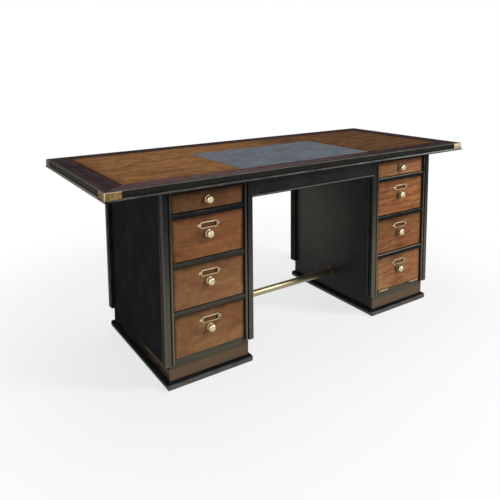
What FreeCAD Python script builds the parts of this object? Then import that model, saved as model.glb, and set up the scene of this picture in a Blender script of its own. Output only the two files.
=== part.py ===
import FreeCAD, Part
import math
import os

# Captain's desk: two drawer pedestals under a wide veneered top with a leather inlay and a brass foot rod.
# Millimetres, +Z up. The origin is on the floor below the middle of the top, and the drawers face -Y.

# Desk top: core, moulded edge, veneers and leather
TOP_LENGTH = 1836.0
TOP_DEPTH = 770.0
DESK_HEIGHT = 770.0
TOP_THICKNESS = 36.0
VENEER_THICKNESS = 4.0
EDGE_WIDTH = 18.0
EDGE_BAND_WIDTH = 14.0
EDGE_BEAD_HEIGHT = 13.0
EDGE_QUIRK_HEIGHT = 2.5
EDGE_QUIRK_WIDTH = 12.0
EDGE_CHAMFER = 1.5
BORDER_END_WIDTH = 76.0
BORDER_SIDE_WIDTH = 66.0
LEATHER_LENGTH = 690.0
LEATHER_DEPTH = 423.0
LEATHER_THICKNESS = 3.6

# Brass guards round the corners of the top
GUARD_LEG = 58.0
GUARD_THICKNESS = 1.6
GUARD_RISE = 7.0
GUARD_SCREW_RADIUS = 3.0
GUARD_SCREW_TIP_RADIUS = 1.8
GUARD_SCREW_HEIGHT = 1.3
GUARD_SCREW_INSET = 12.0

# Where the pedestals stand under the top, and the drawer opening between their posts
END_OVERHANG = 214.0
FRONT_OVERHANG = 32.0
BACK_OVERHANG = 128.0
OPENING_WIDTH = 306.0

# Heights of a pedestal, from the floor up
PLINTH_HEIGHT = 30.0
BASE_HEIGHT = 64.0
SILL_HEIGHT = 12.0
DEEP_COUNT = 3
RAIL_HEIGHT = 20.0
SHALLOW_OPENING = 73.0
TOP_RAIL_HEIGHT = 12.0

# Pedestal boards
SIDE_THICKNESS = 17.0
CARCASE_RECESS = 18.0
BACK_THICKNESS = 10.0
BOTTOM_THICKNESS = 12.0
BASE_RAIL_THICKNESS = 16.0
SILL_SETBACK = 13.0
SILL_DEPTH = 40.0
RAIL_SETBACK = 5.0
RAIL_NOSE = 6.0
RAIL_DEPTH = 60.0
RUNNER_WIDTH = 22.0
PLINTH_PROJECTION = 13.0
PLINTH_NOSE = 11.0
PLINTH_FOOT_ROUND = 7.0

# Bead and quirk down both inner edges of a corner post
POST_BEAD = 9.5
POST_BEAD_SAG = 3.0
POST_QUIRK = 5.0
POST_QUIRK_DEPTH = 5.0

# Drawers
DRAWER_SETBACK = 10.0
FRONT_THICKNESS = 20.0
FRONT_GAP = 1.5
FRONT_ROUND = 3.0
BOX_WALL = 12.0
BOX_BOTTOM = 6.0
BOX_SIDE_GAP = 1.0
BOX_RUN_GAP = 0.3
BOX_TOP_GAP = 22.0
BOX_BACK_GAP = 16.0

# Brass knobs and label holders
ROSE_RADIUS = 15.5
ROSE_RIM = 1.5
ROSE_BEVEL = 4.0
ROSE_THICKNESS = 3.5
KNOB_NECK_RADIUS = 7.5
KNOB_NECK_LENGTH = 8.0
KNOB_RADIUS = 15.5
KNOB_WIDEST = 14.5
KNOB_FLAT_RADIUS = 10.0
KNOB_REACH = 23.0
KNOB_DROP = 73.0
LABEL_LENGTH = 74.0
LABEL_HEIGHT = 26.0
LABEL_RIM = 5.0
LABEL_CORNER = 6.0
LABEL_THICKNESS = 4.0
LABEL_TAB_RADIUS = 6.0
LABEL_TAB_REACH = 10.0
LABEL_TAB_THICKNESS = 2.0
LABEL_DROP = 39.0

# Butt hinges under the flap of the right pedestal
HINGE_LENGTH = 60.0
HINGE_INSET = 16.0
HINGE_KNUCKLES = 3
HINGE_KNUCKLE_GAP = 0.3
HINGE_BARREL_RADIUS = 3.0
HINGE_STANDOFF = 3.6
HINGE_LEAF_THICKNESS = 1.2
HINGE_LEAF_GAP = 0.1
HINGE_LEAF_DEPTH = 14.0
HINGE_PIN_RADIUS = 1.4
HINGE_PIN_SEAT = 0.02
HINGE_PIN_PLAY = 0.06

# Aprons across the kneehole
APRON_HEIGHT = 69.0
APRON_THICKNESS = 18.0
APRON_SETBACK = 2.0
APRON_BEAD_RADIUS = 4.0

# Foot rod
ROD_RADIUS = 16.0
ROD_WALL = 2.0
ROD_HEIGHT = 119.0
ROD_FLANGE_RADIUS = 21.0
ROD_FLANGE_THICKNESS = 3.0
ROD_FLANGE_PLAY = 0.1

# Places that follow from the sizes above
POST_WIDTH = CARCASE_RECESS + SIDE_THICKNESS
PEDESTAL_WIDTH = 2 * POST_WIDTH + OPENING_WIDTH
KNEEHOLE_WIDTH = TOP_LENGTH - 2 * (END_OVERHANG + PEDESTAL_WIDTH)
OPENING = (POST_WIDTH, POST_WIDTH + OPENING_WIDTH)
PEDESTAL_FRONT = -TOP_DEPTH / 2 + FRONT_OVERHANG
PEDESTAL_BACK = TOP_DEPTH / 2 - BACK_OVERHANG
CARCASE_FRONT = PEDESTAL_FRONT + CARCASE_RECESS
CARCASE_BACK = PEDESTAL_BACK - CARCASE_RECESS
BACK_INSIDE = CARCASE_BACK - BACK_THICKNESS
BASE_TOP = PLINTH_HEIGHT + BASE_HEIGHT
SILL_TOP = BASE_TOP + SILL_HEIGHT
UNDERSIDE = DESK_HEIGHT - TOP_THICKNESS
SHALLOW_LOW = UNDERSIDE - TOP_RAIL_HEIGHT - SHALLOW_OPENING
DEEP_OPENING = (SHALLOW_LOW - SILL_TOP) / DEEP_COUNT - RAIL_HEIGHT
CORE_TOP = DESK_HEIGHT - VENEER_THICKNESS
BAND_X = TOP_LENGTH / 2 - EDGE_WIDTH + EDGE_BAND_WIDTH
BAND_Y = TOP_DEPTH / 2 - EDGE_WIDTH + EDGE_BAND_WIDTH
GUARD_HEIGHTS = (UNDERSIDE + GUARD_RISE, DESK_HEIGHT - EDGE_CHAMFER)
RAIL_FACE = PEDESTAL_FRONT + RAIL_SETBACK
RAIL_BACK = RAIL_FACE + RAIL_DEPTH
SILL_FACE = PEDESTAL_FRONT + SILL_SETBACK
SILL_BACK = SILL_FACE + SILL_DEPTH
DRAWER_FACE = PEDESTAL_FRONT + DRAWER_SETBACK
DRAWER_BACK = DRAWER_FACE + FRONT_THICKNESS
FLAP_LOW = SILL_TOP + 2 * HINGE_LEAF_THICKNESS + HINGE_LEAF_GAP
HINGE_Y = DRAWER_FACE - HINGE_STANDOFF
HINGE_Z = SILL_TOP + HINGE_LEAF_THICKNESS + HINGE_LEAF_GAP / 2
LEFT = -1
RIGHT = 1
SIDES = {"left": LEFT, "right": RIGHT}
CORNERS = [(sign_x, sign_y) for sign_x in (-1, 1) for sign_y in (-1, 1)]


def vector(x, y, z):
    return FreeCAD.Vector(x, y, z)


def block(x_span, y_span, z_span):
    """Box between two limits on each axis, given in either order."""
    low = [min(span) for span in (x_span, y_span, z_span)]
    size = [max(span) - min(span) for span in (x_span, y_span, z_span)]
    return Part.makeBox(*size, vector(*low))


def prism(points, z_span):
    """Upright solid on a plan outline of straight sides."""
    corners = [vector(x, y, z_span[0]) for x, y in points]
    face = Part.Face(Part.makePolygon(corners + corners[:1]))
    return face.extrude(vector(0, 0, z_span[1] - z_span[0]))


def across(side, from_kneehole):
    """X of a distance measured outwards from the kneehole face of one pedestal's posts."""
    return side * (KNEEHOLE_WIDTH / 2 + from_kneehole)


def pedestal_block(side, u_span, y_span, z_span):
    """Box in one pedestal, with its width measured outwards from the kneehole."""
    return block([across(side, u) for u in u_span], y_span, z_span)


def edges_facing(shape, test):
    """The edges of a shape whose two ends both pass a test on their position."""
    return [edge for edge in shape.Edges if all(test(vertex.Point) for vertex in edge.Vertexes)]


def edges_along(shape, axis):
    """The straight edges of a shape that run along an axis."""
    return [edge for edge in shape.Edges if near(abs(edge.tangentAt(edge.FirstParameter).dot(axis)), 1)]


def near(value, target):
    return math.isclose(value, target, abs_tol=1e-6)


def openings():
    """Low and high Z of the drawer openings of a pedestal, from the top drawer down."""
    deep = [SILL_TOP + i * (DEEP_OPENING + RAIL_HEIGHT) for i in range(DEEP_COUNT)]
    spans = [(low, low + DEEP_OPENING) for low in deep]
    spans.append((SHALLOW_LOW, SHALLOW_LOW + SHALLOW_OPENING))
    return spans[::-1]


# Desk top


def top_ring(width_x, width_y, outer_x, outer_y):
    """Plan outlines of four mitred strips round a rectangle: front, back, left and right."""
    inner_x = outer_x - width_x
    inner_y = outer_y - width_y
    outlines = []
    for sign in (-1, 1):
        outlines.append([(-outer_x, sign * outer_y), (outer_x, sign * outer_y),
                         (inner_x, sign * inner_y), (-inner_x, sign * inner_y)])
    for sign in (-1, 1):
        outlines.append([(sign * outer_x, -outer_y), (sign * outer_x, outer_y),
                         (sign * inner_x, inner_y), (sign * inner_x, -inner_y)])
    return outlines


def edge_section(place):
    """Face of the edge moulding's section: a flat band above a quirk and a bead that stands out from it."""
    bead = EDGE_BEAD_HEIGHT
    band_low = bead + EDGE_QUIRK_HEIGHT
    line = [(EDGE_QUIRK_WIDTH, bead), (EDGE_QUIRK_WIDTH, band_low), (EDGE_BAND_WIDTH, band_low),
            (EDGE_BAND_WIDTH, TOP_THICKNESS - EDGE_CHAMFER), (EDGE_BAND_WIDTH - EDGE_CHAMFER, TOP_THICKNESS),
            (0, TOP_THICKNESS), (0, 0), (EDGE_QUIRK_WIDTH, 0)]
    points = [place(out, UNDERSIDE + up) for out, up in line]
    crown = place(EDGE_WIDTH, UNDERSIDE + bead / 2)
    arc = Part.Arc(points[-1], crown, points[0]).toShape()
    return Part.Face(Part.Wire(Part.makePolygon(points).Edges + [arc]))


def corner_angle(sign_x, sign_y, thickness):
    """Upright angle that wraps one corner of the moulding's flat band, from the band outwards."""
    corner_x = sign_x * BAND_X
    corner_y = sign_y * BAND_Y
    outer_x = corner_x + sign_x * thickness
    outer_y = corner_y + sign_y * thickness
    along_x = block((corner_x - sign_x * GUARD_LEG, outer_x), (corner_y, outer_y), GUARD_HEIGHTS)
    along_y = block((corner_x, outer_x), (corner_y - sign_y * GUARD_LEG, outer_y), GUARD_HEIGHTS)
    return along_x.fuse(along_y).removeSplitter()


def edge_moulding():
    """Four mitred lengths of moulding round the core, with the bead cut back where the guards sit."""
    half_x = TOP_LENGTH / 2
    half_y = TOP_DEPTH / 2
    sticks = []
    for sign in (-1, 1):
        run = edge_section(lambda out, z: vector(-half_x, sign * (half_y - EDGE_WIDTH + out), z))
        sticks.append(run.extrude(vector(TOP_LENGTH, 0, 0)))
    for sign in (-1, 1):
        run = edge_section(lambda out, z: vector(sign * (half_x - EDGE_WIDTH + out), -half_y, z))
        sticks.append(run.extrude(vector(0, TOP_DEPTH, 0)))
    plans = top_ring(EDGE_WIDTH, EDGE_WIDTH, half_x, half_y)
    mitred = [stick.common(prism(plan, (UNDERSIDE, DESK_HEIGHT))) for stick, plan in zip(sticks, plans)]
    seats = Part.makeCompound([corner_angle(*corner, EDGE_WIDTH) for corner in CORNERS])
    return [stick.cut(seats) for stick in mitred]


def top_nodes():
    """Core, moulding, border, field and leather of the desk top."""
    core_x = TOP_LENGTH / 2 - EDGE_WIDTH
    core_y = TOP_DEPTH / 2 - EDGE_WIDTH
    field_x = core_x - BORDER_END_WIDTH
    field_y = core_y - BORDER_SIDE_WIDTH
    leather_x = LEATHER_LENGTH / 2
    leather_back = LEATHER_DEPTH - field_y
    skin = (CORE_TOP, DESK_HEIGHT)
    border = [prism(plan, skin) for plan in top_ring(BORDER_END_WIDTH, BORDER_SIDE_WIDTH, core_x, core_y)]
    field = [block((-field_x, -leather_x), (-field_y, field_y), skin),
             block((leather_x, field_x), (-field_y, field_y), skin),
             block((-leather_x, leather_x), (leather_back, field_y), skin)]
    return {
        "top_core": [block((-core_x, core_x), (-core_y, core_y), (UNDERSIDE, CORE_TOP))],
        "top_edge_moulding": edge_moulding(),
        "top_border_veneer": border,
        "top_field_veneer": field,
        "leather_inlay": [block((-leather_x, leather_x), (-field_y, leather_back),
                                (CORE_TOP, CORE_TOP + LEATHER_THICKNESS))],
    }


def guard_screws(sign_x, sign_y):
    """Low screw heads on both legs of one corner guard."""
    face_x = sign_x * (BAND_X + GUARD_THICKNESS)
    face_y = sign_y * (BAND_Y + GUARD_THICKNESS)
    height = sum(GUARD_HEIGHTS) / 2
    heads = []
    for inset in (GUARD_SCREW_INSET, GUARD_LEG - GUARD_SCREW_INSET):
        on_x = vector(sign_x * (BAND_X - inset), face_y, height)
        on_y = vector(face_x, sign_y * (BAND_Y - inset), height)
        for seat, out in ((on_x, vector(0, sign_y, 0)), (on_y, vector(sign_x, 0, 0))):
            heads.append(Part.makeCone(GUARD_SCREW_RADIUS, GUARD_SCREW_TIP_RADIUS,
                                       GUARD_SCREW_HEIGHT, seat, out))
    return heads


def guard_nodes():
    return {
        "corner_guards": [corner_angle(*corner, GUARD_THICKNESS) for corner in CORNERS],
        "guard_screws": [head for corner in CORNERS for head in guard_screws(*corner)],
    }


# Kneehole: aprons and foot rod


def apron(outer_face, inwards):
    """Board across the kneehole with a bead along the bottom of its outer face."""
    half = KNEEHOLE_WIDTH / 2
    low = UNDERSIDE - APRON_HEIGHT
    face = outer_face + inwards * APRON_SETBACK
    board = block((-half, half), (face, face + inwards * APRON_THICKNESS), (low, UNDERSIDE))
    bead = Part.makeCylinder(APRON_BEAD_RADIUS, KNEEHOLE_WIDTH,
                             vector(-half, face, low + APRON_BEAD_RADIUS), vector(1, 0, 0))
    return board.fuse(bead).removeSplitter()


def tube(radius, bore, start, length):
    """Round tube that runs along +X from its start."""
    along = vector(1, 0, 0)
    outer = Part.makeCylinder(radius, length, start, along)
    return outer.cut(Part.makeCylinder(bore, length, start, along))


def kneehole_nodes():
    panel_x = KNEEHOLE_WIDTH / 2 + CARCASE_RECESS
    rod_y = (PEDESTAL_FRONT + PEDESTAL_BACK) / 2
    rod_start = vector(-panel_x, rod_y, ROD_HEIGHT)
    flange_starts = [rod_start, vector(panel_x - ROD_FLANGE_THICKNESS, rod_y, ROD_HEIGHT)]
    flange_bore = ROD_RADIUS + ROD_FLANGE_PLAY
    return {
        "apron_front": [apron(PEDESTAL_FRONT, 1)],
        "apron_back": [apron(PEDESTAL_BACK, -1)],
        "foot_rod": [tube(ROD_RADIUS, ROD_RADIUS - ROD_WALL, rod_start, 2 * panel_x)],
        "foot_rod_flanges": [tube(ROD_FLANGE_RADIUS, flange_bore, start, ROD_FLANGE_THICKNESS)
                             for start in flange_starts],
    }


# Pedestals


def corner_post(side, outer, back):
    """Post round one corner of the carcase, with a bead and quirk by each inner edge."""
    width = POST_WIDTH
    quirk = width - POST_BEAD - POST_QUIRK
    bead = width - POST_BEAD
    middle = width - POST_BEAD / 2
    sag = POST_BEAD_SAG
    deep = POST_QUIRK_DEPTH
    notch = CARCASE_RECESS

    def place(a, b):
        u = PEDESTAL_WIDTH - a if outer else a
        y = PEDESTAL_BACK - b if back else PEDESTAL_FRONT + b
        return vector(across(side, u), y, BASE_TOP)

    front = [(0, quirk), (0, 0), (quirk, 0), (quirk, deep), (bead, deep), (bead, sag)]
    inner = [(width, sag), (width, notch), (notch, notch), (notch, width), (sag, width)]
    flank = [(sag, bead), (deep, bead), (deep, quirk), (0, quirk)]
    edges = []
    for run in (front, inner, flank):
        edges += Part.makePolygon([place(*point) for point in run]).Edges
    for start, crown, end in ((front[-1], (middle, 0), inner[0]), (inner[-1], (0, middle), flank[0])):
        edges.append(Part.Arc(place(*start), place(*crown), place(*end)).toShape())
    outline = Part.Wire(Part.__sortEdges__(edges))
    return Part.Face(outline).extrude(vector(0, 0, UNDERSIDE - BASE_TOP))


def plinth(side):
    """Board with a rounded nose that the carcase stands on."""
    inset = CARCASE_RECESS - PLINTH_PROJECTION
    board = pedestal_block(side, (inset, PEDESTAL_WIDTH - inset),
                           (SILL_FACE - PLINTH_PROJECTION, PEDESTAL_BACK - inset), (0, PLINTH_HEIGHT))
    nosed = board.makeFillet(PLINTH_NOSE, edges_facing(board, lambda p: near(p.z, PLINTH_HEIGHT)))
    return nosed.makeFillet(PLINTH_FOOT_ROUND, edges_facing(nosed, lambda p: near(p.z, 0)))


def base_rail(side):
    """Board below the sill, lipped over the front edges of the two sides."""
    height = (PLINTH_HEIGHT, BASE_TOP)
    lip = pedestal_block(side, (CARCASE_RECESS, PEDESTAL_WIDTH - CARCASE_RECESS),
                         (SILL_FACE, CARCASE_FRONT), height)
    core = pedestal_block(side, OPENING, (CARCASE_FRONT, CARCASE_FRONT + BASE_RAIL_THICKNESS), height)
    return lip.fuse(core).removeSplitter()


def cross_rails(side):
    """Boards across a pedestal's front: base, sill, one below each upper drawer, and top rail."""
    rails = [base_rail(side),
             pedestal_block(side, OPENING, (SILL_FACE, SILL_BACK), (BASE_TOP, SILL_TOP)),
             pedestal_block(side, OPENING, (RAIL_FACE, RAIL_BACK), (UNDERSIDE - TOP_RAIL_HEIGHT, UNDERSIDE))]
    for low, _ in openings()[:-1]:
        rail = pedestal_block(side, OPENING, (RAIL_FACE, RAIL_BACK), (low - RAIL_HEIGHT, low))
        nose = [edge for edge in edges_along(rail, vector(1, 0, 0)) if near(edge.CenterOfMass.y, RAIL_FACE)]
        rails.append(rail.makeFillet(RAIL_NOSE, nose))
    return rails


def runners(side):
    """Strips behind the rails that the upper drawers' sides slide on."""
    strips = []
    for low, _ in openings()[:-1]:
        for u_span in ((OPENING[0], OPENING[0] + RUNNER_WIDTH), (OPENING[1] - RUNNER_WIDTH, OPENING[1])):
            strips.append(pedestal_block(side, u_span, (RAIL_BACK, BACK_INSIDE), (low - RAIL_HEIGHT, low)))
    return strips


def pedestal_nodes(name, side):
    inner = (CARCASE_RECESS, POST_WIDTH)
    outer = (PEDESTAL_WIDTH - POST_WIDTH, PEDESTAL_WIDTH - CARCASE_RECESS)
    depth = (CARCASE_FRONT, CARCASE_BACK)
    height = (PLINTH_HEIGHT, UNDERSIDE)
    posts = [corner_post(side, at_outer, at_back) for at_outer in (False, True) for at_back in (False, True)]
    return {
        name + "_inner_side": [pedestal_block(side, inner, depth, height)],
        name + "_outer_side": [pedestal_block(side, outer, depth, height)],
        name + "_back": [pedestal_block(side, OPENING, (BACK_INSIDE, CARCASE_BACK), height)],
        name + "_bottom_board": [pedestal_block(side, OPENING, (SILL_BACK, BACK_INSIDE),
                                                (SILL_TOP - BOTTOM_THICKNESS, SILL_TOP))],
        name + "_plinth": [plinth(side)],
        name + "_corner_posts": posts,
        name + "_cross_rails": cross_rails(side),
        name + "_drawer_runners": runners(side),
    }


# Drawers and flap


def wooden_front(side, low, high):
    """Drawer front or flap panel with rounded front edges."""
    board = pedestal_block(side, (OPENING[0] + FRONT_GAP, OPENING[1] - FRONT_GAP),
                           (DRAWER_FACE, DRAWER_BACK), (low, high))
    return board.makeFillet(FRONT_ROUND, edges_facing(board, lambda p: near(p.y, DRAWER_FACE)))


def drawer_box(side, low, high):
    """Open-topped tray behind a drawer front."""
    u_span = (OPENING[0] + BOX_SIDE_GAP, OPENING[1] - BOX_SIDE_GAP)
    y_span = (DRAWER_BACK, BACK_INSIDE - BOX_BACK_GAP)
    z_span = (low + BOX_RUN_GAP, high - BOX_TOP_GAP)
    inside = pedestal_block(side, (u_span[0] + BOX_WALL, u_span[1] - BOX_WALL),
                            (y_span[0] + BOX_WALL, y_span[1] - BOX_WALL),
                            (z_span[0] + BOX_BOTTOM, z_span[1]))
    return pedestal_block(side, u_span, y_span, z_span).cut(inside)


def knob(x, z):
    """Turned knob with a flattened head on a round rose, seated on a drawer front."""
    def place(radius, out):
        return vector(x + radius, DRAWER_FACE - out, z)

    line = [(KNOB_FLAT_RADIUS, KNOB_REACH), (0, KNOB_REACH), (0, 0), (ROSE_RADIUS, 0),
            (ROSE_RADIUS, ROSE_RIM), (ROSE_RADIUS - ROSE_BEVEL, ROSE_THICKNESS),
            (KNOB_NECK_RADIUS, ROSE_THICKNESS), (KNOB_NECK_RADIUS, KNOB_NECK_LENGTH)]
    points = [place(*point) for point in line]
    head = Part.Arc(points[-1], place(KNOB_RADIUS, KNOB_WIDEST), points[0]).toShape()
    section = Part.Face(Part.Wire(Part.makePolygon(points).Edges + [head]))
    return section.revolve(vector(x, DRAWER_FACE, z), vector(0, 1, 0), 360)


def rounded_plate(x, z, length, height, corner):
    """Upright plate on a drawer front with its four corners rounded."""
    plate = block((x - length / 2, x + length / 2), (DRAWER_FACE - LABEL_THICKNESS, DRAWER_FACE),
                  (z - height / 2, z + height / 2))
    return plate.makeFillet(corner, edges_along(plate, vector(0, 1, 0)))


def label_holder(x, z):
    """Open card frame with a round, thinner screw tab at each end."""
    frame = rounded_plate(x, z, LABEL_LENGTH, LABEL_HEIGHT, LABEL_CORNER)
    for sign in (-1, 1):
        tab_x = x + sign * (LABEL_LENGTH / 2 + LABEL_TAB_REACH - LABEL_TAB_RADIUS)
        start = vector(tab_x, DRAWER_FACE - LABEL_TAB_THICKNESS, z)
        tab = Part.makeCylinder(LABEL_TAB_RADIUS, LABEL_TAB_THICKNESS, start, vector(0, 1, 0))
        frame = frame.fuse(tab)
    window = block((x - LABEL_LENGTH / 2 + LABEL_RIM, x + LABEL_LENGTH / 2 - LABEL_RIM),
                   (DRAWER_FACE - LABEL_THICKNESS, DRAWER_FACE),
                   (z - LABEL_HEIGHT / 2 + LABEL_RIM, z + LABEL_HEIGHT / 2 - LABEL_RIM))
    return frame.removeSplitter().cut(window)


def hardware_nodes(name, side, high, knob_z, labelled):
    """Knob, and label holder where there is one, of one front."""
    x = across(side, PEDESTAL_WIDTH / 2)
    nodes = {name + "_knob": [knob(x, knob_z)]}
    if labelled:
        nodes[name + "_label_holder"] = [label_holder(x, high - LABEL_DROP)]
    return nodes


def drawer_nodes(pedestal, side, number, span):
    """Front, box and brass of one drawer. Only the shallow top drawer has no label holder."""
    low, high = span
    name = f"{pedestal}_drawer_{number}"
    labelled = number > 1
    knob_z = high - KNOB_DROP if labelled else (low + high) / 2
    return {
        name + "_front": [wooden_front(side, low + FRONT_GAP, high - FRONT_GAP)],
        name + "_box": [drawer_box(side, low, high)],
        **hardware_nodes(name, side, high, knob_z, labelled),
    }


def hinge_spans():
    """X limits of the two hinges, one by each end of the flap."""
    low = across(RIGHT, OPENING[0] + FRONT_GAP + HINGE_INSET)
    high = across(RIGHT, OPENING[1] - FRONT_GAP - HINGE_INSET)
    return [(low, low + HINGE_LENGTH), (high - HINGE_LENGTH, high)]


def hinge_leaf(x_span, z_span, kept, bore):
    """Leaf with every second knuckle, starting at the one that is kept."""
    pitch = HINGE_LENGTH / HINGE_KNUCKLES
    leaf_front = HINGE_Y + HINGE_BARREL_RADIUS + HINGE_KNUCKLE_GAP
    leaf = block(x_span, (leaf_front, DRAWER_FACE + HINGE_LEAF_DEPTH), z_span)
    along = vector(1, 0, 0)
    for i in range(kept, HINGE_KNUCKLES, 2):
        start = x_span[0] + i * pitch + HINGE_KNUCKLE_GAP / 2
        length = pitch - HINGE_KNUCKLE_GAP
        centre = vector(start, HINGE_Y, HINGE_Z)
        neck = block((start, start + length), (HINGE_Y, leaf_front), z_span)
        leaf = leaf.fuse(neck).fuse(Part.makeCylinder(HINGE_BARREL_RADIUS, length, centre, along))
    hole = Part.makeCylinder(bore, HINGE_LENGTH, vector(x_span[0], HINGE_Y, HINGE_Z), along)
    return leaf.removeSplitter().cut(hole)


def flap_nodes():
    """Fall-front of the right pedestal's lowest opening, its brass and its two hinges."""
    high = openings()[-1][1]
    knob_z = high - KNOB_DROP
    fixed = (SILL_TOP, SILL_TOP + HINGE_LEAF_THICKNESS)
    moving = (FLAP_LOW - HINGE_LEAF_THICKNESS, FLAP_LOW)
    pin_starts = [vector(span[0], HINGE_Y, HINGE_Z) for span in hinge_spans()]
    pins = [Part.makeCylinder(HINGE_PIN_RADIUS, HINGE_LENGTH, start, vector(1, 0, 0)) for start in pin_starts]
    seat = HINGE_PIN_RADIUS + HINGE_PIN_SEAT
    running = HINGE_PIN_RADIUS + HINGE_PIN_PLAY
    return {
        "flap_panel": [wooden_front(RIGHT, FLAP_LOW, high - FRONT_GAP)],
        **hardware_nodes("flap", RIGHT, high, knob_z, True),
        "flap_hinge_leaves": [hinge_leaf(span, moving, 1, running) for span in hinge_spans()],
        "sill_hinge_leaves": [hinge_leaf(span, fixed, 0, seat) for span in hinge_spans()],
        "hinge_pins": pins,
    }


def desk_nodes():
    """Every node's name and its solids."""
    nodes = {**top_nodes(), **guard_nodes(), **kneehole_nodes(), **flap_nodes()}
    for name, side in SIDES.items():
        nodes.update(pedestal_nodes(name, side))
        for number, span in enumerate(openings(), start=1):
            if side == LEFT or span != openings()[-1]:
                nodes.update(drawer_nodes(name, side, number, span))
    return nodes


os.makedirs("parts", exist_ok=True)
for node, solids in desk_nodes().items():
    shape = solids[0] if len(solids) == 1 else Part.makeCompound(solids)
    shape.exportStep(f"parts/{node}.step")
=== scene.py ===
import math
from functools import partial, reduce

import bpy
from mathutils import Matrix, Vector


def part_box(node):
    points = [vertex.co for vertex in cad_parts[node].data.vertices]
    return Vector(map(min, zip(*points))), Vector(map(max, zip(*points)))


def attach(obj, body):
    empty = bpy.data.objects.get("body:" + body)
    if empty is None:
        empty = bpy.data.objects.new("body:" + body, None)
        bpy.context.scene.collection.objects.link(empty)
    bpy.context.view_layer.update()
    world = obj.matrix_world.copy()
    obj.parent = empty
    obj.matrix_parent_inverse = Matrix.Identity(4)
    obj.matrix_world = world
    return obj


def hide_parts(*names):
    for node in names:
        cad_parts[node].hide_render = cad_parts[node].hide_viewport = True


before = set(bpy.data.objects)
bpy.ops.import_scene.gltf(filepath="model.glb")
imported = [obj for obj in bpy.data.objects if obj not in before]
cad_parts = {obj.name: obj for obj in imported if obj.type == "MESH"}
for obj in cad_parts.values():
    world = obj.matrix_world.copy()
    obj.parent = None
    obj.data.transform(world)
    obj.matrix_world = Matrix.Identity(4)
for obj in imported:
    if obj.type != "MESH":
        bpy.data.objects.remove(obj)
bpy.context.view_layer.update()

bl_info = {
    "name": "Captain's desk",
    "version": (1, 0, 0),
    "blender": (4, 5, 0),
    "location": "View3D > Sidebar > Desk",
    "description": "Lacquer, veneer, leather and turned brass of a pedestal desk, on a pale studio floor",
    "category": "Object",
}

MM = 0.001
SIDES = ("left", "right")
DRAWERS = [f"left_drawer_{n}" for n in (1, 2, 3, 4)] + [f"right_drawer_{n}" for n in (1, 2, 3)]
FRONTS = {**{name: name + "_front" for name in DRAWERS}, "flap": "flap_panel"}
LABELLED = [name for name in FRONTS if name + "_label_holder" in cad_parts]

# How light, how red and how streaky each front is; the lightness is partly the veneer's own tone and partly
# painted light and shade, darkest on the top left drawer under the top's overhang and lightest on the right
# pedestal, which the key lamp lights
FRONT_TONES_AND_LIGHT = {
    "left_drawer_1": (0.44, -0.1, 0.2), "left_drawer_2": (0.80, 0.45, 0.2),
    "left_drawer_3": (0.87, -0.3, 0.2), "left_drawer_4": (0.92, -0.45, 0.2),
    "right_drawer_1": (1.12, -0.2, 0.8), "right_drawer_2": (1.16, 0.7, 1.0),
    "right_drawer_3": (0.96, 0.35, 0.9), "flap": (1.28, -0.15, 0.7),
}

# Each lamp's name, place, aim, width in metres and power in watts
LAMPS = (
    ("key_lamp", (2.7, -3.1, 3.1), (0.1, -0.2, 0.45), 1.2, 130),
    ("fill_lamp", (-2.6, -3.2, 1.9), (0.0, -0.1, 0.5), 2.6, 30),
    ("sky_lamp", (-0.3, 1.2, 3.4), (0.0, 0.0, 0.75), 3.0, 45),
)
SENSOR_WIDTH = 36.0
FLOOR_WIDTH = 60.0
FLOOR_DROP = 0.4 * MM

# How white the floor is under the desk, and the distances between which it turns quite white
FLOOR_WHITE = 0.72
FLOOR_FADE = (0.9, 1.9)
FLOOR_ROUGHNESS = 0.9

# Edges flatter than the first two angles are shaded smooth, and edges sharper than the third are rounded
TURNED_ANGLE = math.radians(32)
PRESSED_ANGLE = math.radians(35)
SHARP_ANGLE = math.radians(40)

# How far pressed brass stays inside its CAD box
RIM_CLEARANCE = 0.1 * MM
SHEET_CLEARANCE = 0.05 * MM

ROD_SEGMENTS = 64
EAR_SEGMENTS = 32
SCREW_SEGMENTS = 20
DOVETAIL_PITCH = 34 * MM
TOWARDS_FRONT = (0, -1, 0)
CORNERS = ((1, 1), (-1, 1), (1, -1), (-1, -1))


def middle(node):
    """Centre of a node's box."""
    low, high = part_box(node)
    return (low + high) / 2


def reach(node):
    """Half the size of a node's box along each axis."""
    low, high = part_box(node)
    return (high - low) / 2


# Places on the desk that the wear, the painted highlights and the painted shade follow
POST_MIDDLE = middle("right_corner_posts")
POST_REACH = reach("right_corner_posts")
POST_FRONT = POST_MIDDLE.y - POST_REACH.y
TOP_REACH = reach("top_edge_moulding")
TOP_LOW, TOP_HIGH = (corner.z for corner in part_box("top_edge_moulding"))
BORDER_REACH = reach("top_border_veneer")
FIELD_REACH = reach("top_field_veneer")
RAIL_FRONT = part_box("left_cross_rails")[0].y
FIRST_HOLDER, SECOND_HOLDER = (middle(name + "_label_holder") for name in LABELLED[:2])
RAIL_PITCH = abs(FIRST_HOLDER.z - SECOND_HOLDER.z)
LOWEST_RAIL = 0.267
MIDDLE_RAIL = 0.46

# A post's arris, quirk and bead, from its outer corner, and three edges, from the undersides of their pieces
POST_ARRIS, POST_QUIRK, POST_BEAD = 19.6 * MM, 23.0 * MM, 30.5 * MM
RAIL_NOSE, TOP_BEAD, APRON_BEAD = 17.0 * MM, 8.0 * MM, 5.5 * MM


def colour_of(name, description, default):
    return bpy.props.FloatVectorProperty(name=name, description=description, default=default,
                                         subtype="COLOR", size=3, min=0, max=1)


def length_of(name, description, default):
    return bpy.props.FloatProperty(name=name, description=description, default=default, unit="LENGTH")


def angle_of(name, description, degrees):
    return bpy.props.FloatProperty(name=name, description=description, default=math.radians(degrees),
                                   subtype="ANGLE")


def group_of(kind, name, description):
    return bpy.props.PointerProperty(type=kind, name=name, description=description)


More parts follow.
